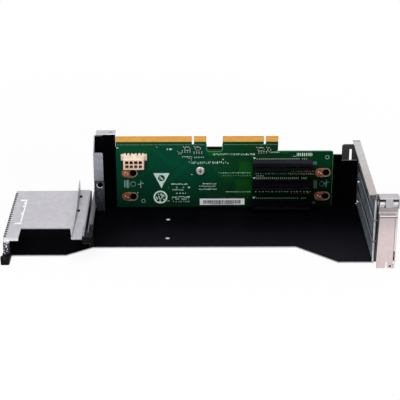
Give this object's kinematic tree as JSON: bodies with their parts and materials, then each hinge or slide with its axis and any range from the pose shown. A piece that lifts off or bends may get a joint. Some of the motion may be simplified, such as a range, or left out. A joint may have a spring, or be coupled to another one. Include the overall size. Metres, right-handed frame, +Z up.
{
  "type": "server riser card cage",
  "caption": "Folded sheet cage that holds an upright riser board with card slots, edge contacts, a power header, a side tray and a hinged door over the slot covers.",
  "frame": {"origin": "on the underside of the cage floor, straight below the front left corner of the riser board", "axes": "+X along the riser board to the rear panel, +Y from the cards through the board to the back wall, +Z up from the floor to the gold card edges"},
  "size_m": [0.3476, 0.1482, 0.075],
  "materials": {
    "galvanised_sheet": "satin, fine spangle",
    "latch_sheet": "satin",
    "cover_sheet": "satin",
    "fastener_steel": "bright",
    "hook_steel": "bright, warm tint from the copper round it",
    "black_film": "smooth, half matt",
    "black_moulding": "fine texture",
    "slot_moulding": "smooth",
    "solder_mask": "green, half gloss",
    "gold_plate": "bright gold",
    "bare_copper": "satin",
    "tin_plate": "bright",
    "ivory_moulding": "smooth",
    "white_label": "paper",
    "capacitor_body": "ceramic",
    "resistor_body": "ceramic"
  },
  "bodies": {
    "cage": {"cage_shell": "galvanised_sheet", "insulator_film": "black_film", "flange_film": "black_film", "end_bracket": "galvanised_sheet", "slot_panel": "galvanised_sheet", "slot_cover_1": "cover_sheet", "slot_cover_2": "cover_sheet", "slot_cover_3": "cover_sheet", "side_tray": "galvanised_sheet", "tray_rib": "galvanised_sheet", "tray_foot": "black_moulding", "corner_clip": "black_moulding", "latch_bracket": "latch_sheet", "hinge_pin": "fastener_steel", "riser_board": "solder_mask", "keyhole_pads": "bare_copper", "edge_contacts_x16": "gold_plate", "edge_contacts_x8": "gold_plate", "card_slot_1": "slot_moulding", "card_slot_2": "slot_moulding", "card_slot_3": "slot_moulding", "slot_contacts_1": "tin_plate", "slot_contacts_2": "tin_plate", "slot_contacts_3": "tin_plate", "power_header": "ivory_moulding", "power_pins": "tin_plate", "hook_studs": "hook_steel", "board_standoff": "fastener_steel", "board_screw": "fastener_steel", "board_label": "white_label", "chip_capacitors": "capacitor_body", "chip_resistors": "resistor_body", "floor_rivets": "fastener_steel", "wall_rivets": "fastener_steel", "panel_rivets": "fastener_steel", "tab_rivets": "fastener_steel", "latch_rivets": "latch_sheet"},
    "door": {"retainer_door": "latch_sheet"}
  },
  "joints": [
    {"name": "retainer_door_hinge", "type": "hinge", "parent": "cage", "child": "door", "pos_m": [0.2409, -0.122, 0.0604], "axis": [-1, 0, 0], "range_deg": [0, 105]}
  ]
}
